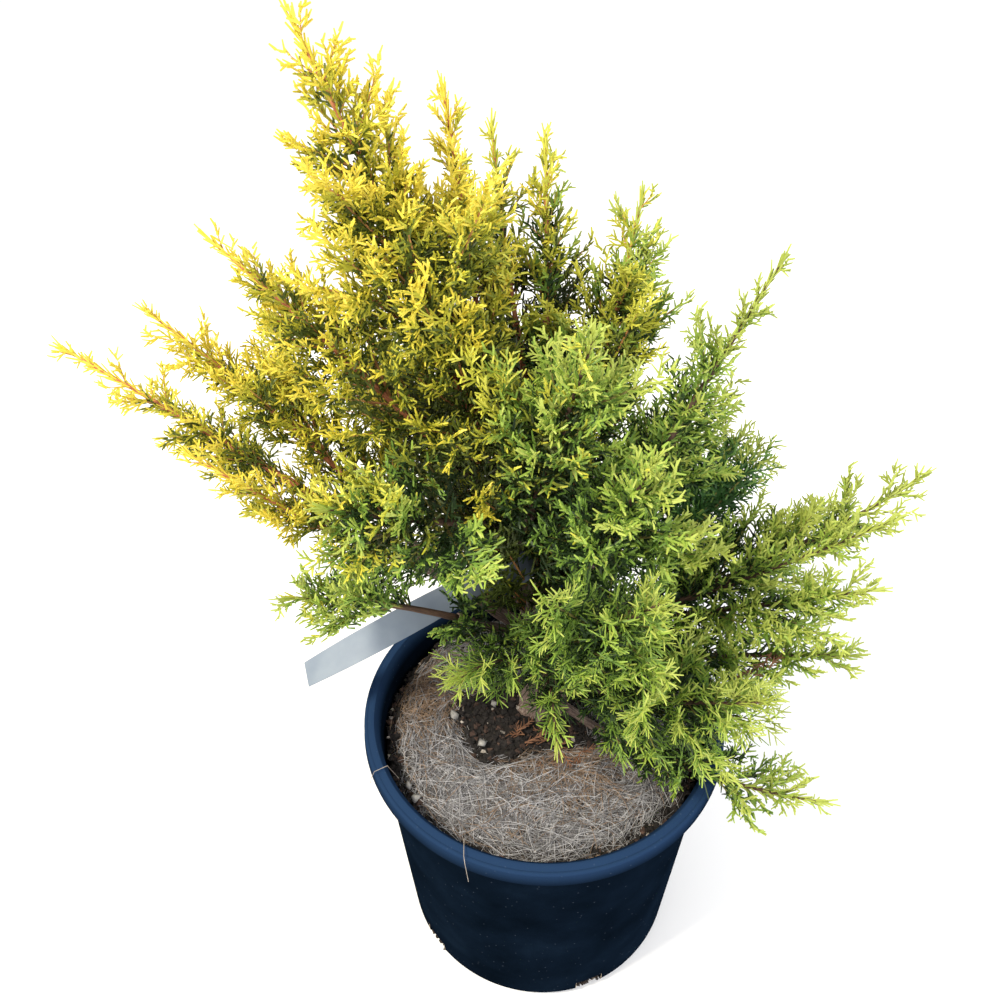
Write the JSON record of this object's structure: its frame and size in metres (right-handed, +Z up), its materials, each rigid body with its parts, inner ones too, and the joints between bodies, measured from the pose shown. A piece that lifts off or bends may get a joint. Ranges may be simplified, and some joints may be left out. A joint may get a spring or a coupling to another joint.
{
  "type": "potted golden pfitzer juniper",
  "caption": "Spreading golden-tipped juniper with feathery arching plumes, in a round black nursery pot with a coir mulch mat and a blank plant tag.",
  "frame": {"origin": "centre of the pot's flat underside, where the pot stands on the ground", "axes": "+Z up; -Y towards the pot's front, over which the lowest bough creeps; +X to the right seen from the front"},
  "size_m": [0.652, 0.477, 0.8401],
  "materials": {
    "pot_plastic": "moulded black polypropylene, smooth and half matt, with dust",
    "potting_mix": "damp dark potting mix of bark bits, with pebbles",
    "coir_fibre": "felted coconut fibre, weathered grey and torn open in the middle",
    "bark": "grey-brown flaking bark, reddish on young wood",
    "foliage_gold": "golden yellow scale leaves in feathery sprays",
    "foliage_green": "lime to dark green scale leaves in feathery sprays",
    "tag_plastic": "pale blank plastic strip"
  },
  "bodies": {
    "root": {"pot": "pot_plastic", "potting_soil": "potting_mix", "coir_mat": "coir_fibre", "trunk": "bark", "bough_leader": "bark", "bough_back_side": "bark", "bough_back_left": "bark", "bough_back_centre": "bark", "bough_back_high": "bark", "bough_back_right": "bark", "bough_right_high": "bark", "bough_right_long": "bark", "bough_right_shade": "bark", "bough_right_mid": "bark", "bough_right_low": "bark", "bough_right_foot": "bark", "bough_creeping": "bark", "bough_front_right_foot": "bark", "bough_left_high": "bark", "bough_left_long": "bark", "bough_left_mid": "bark", "bough_left_low": "bark", "bough_left_foot": "bark", "bough_front_high": "bark", "bough_front_left": "bark", "bough_front_right": "bark", "bough_front_low": "bark", "bough_rear_left": "bark", "bough_rear_centre": "bark", "bough_rear_right": "bark", "foliage_leader": "foliage_gold", "foliage_back_side": "foliage_gold", "foliage_back_left": "foliage_gold", "foliage_back_centre": "foliage_green", "foliage_back_high": "foliage_gold", "foliage_back_right": "foliage_green", "foliage_right_high": "foliage_green", "foliage_right_long": "foliage_green", "foliage_right_shade": "foliage_green", "foliage_right_mid": "foliage_green", "foliage_right_low": "foliage_green", "foliage_right_foot": "foliage_green", "foliage_creeping": "foliage_green", "foliage_front_right_foot": "foliage_green", "foliage_left_high": "foliage_gold", "foliage_left_long": "foliage_gold", "foliage_left_mid": "foliage_gold", "foliage_left_low": "foliage_gold", "foliage_left_foot": "foliage_gold", "foliage_front_high": "foliage_green", "foliage_front_left": "foliage_gold", "foliage_front_right": "foliage_green", "foliage_front_low": "foliage_green", "foliage_front_hanging": "foliage_green", "foliage_front_left_hanging": "foliage_green", "foliage_rear_left": "foliage_gold", "foliage_rear_centre": "foliage_green", "foliage_rear_right": "foliage_green", "plant_tag": "tag_plastic"}
  },
  "joints": []
}
